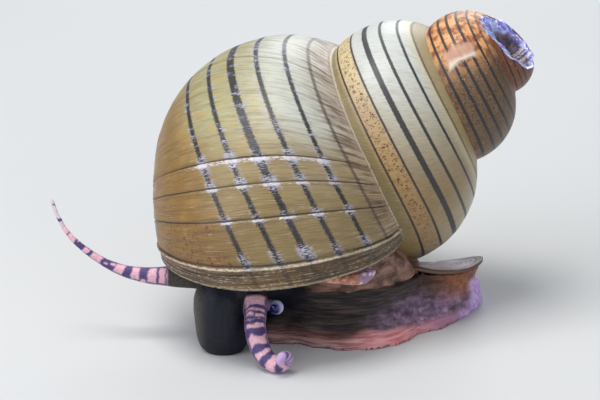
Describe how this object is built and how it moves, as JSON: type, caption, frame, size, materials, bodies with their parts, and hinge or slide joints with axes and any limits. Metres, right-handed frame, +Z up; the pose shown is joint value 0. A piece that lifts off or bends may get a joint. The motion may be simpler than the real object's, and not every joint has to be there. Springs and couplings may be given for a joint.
{
  "type": "river snail",
  "caption": "Life-size still model of a crawling river snail: globular dark-banded shell with a worn tip, dark snout, long feelers, and a horny lid on the foot.",
  "frame": {"origin": "middle of the flat sole, at floor level", "axes": "+X from the middle of the foot to the tail, -X towards the head, +Y to the snail's right, +Z up"},
  "size_m": [0.0374, 0.0253, 0.0229],
  "materials": {
    "shell": "olive periostracum with dark spiral bands, satin, worn to pearl at the tip",
    "horn": "thin brown horn with growth rings",
    "skin": "moist wrinkled skin, dark brown with a rosy edge",
    "dark_skin": "moist smooth skin, blue black",
    "mantle": "moist thin skin, orange brown",
    "feeler": "moist skin, pink with dark rings and a clear edge",
    "eye": "moist clear blue with a navy pupil"
  },
  "bodies": {
    "root": {"shell": "shell", "operculum": "horn", "foot_front": "skin", "foot_rear": "skin", "tail": "skin", "trunk": "skin", "neck": "dark_skin", "head": "dark_skin", "snout": "dark_skin", "mantle_edge": "mantle", "mantle_lobe": "mantle", "tentacle_left_base": "feeler", "tentacle_left_middle": "feeler", "tentacle_left_tip": "feeler", "tentacle_right_base": "feeler", "tentacle_right_middle": "feeler", "tentacle_right_tip": "feeler", "eye_stalk_left": "feeler", "eye_stalk_right": "feeler", "eye_left": "eye", "eye_right": "eye"}
  },
  "joints": []
}
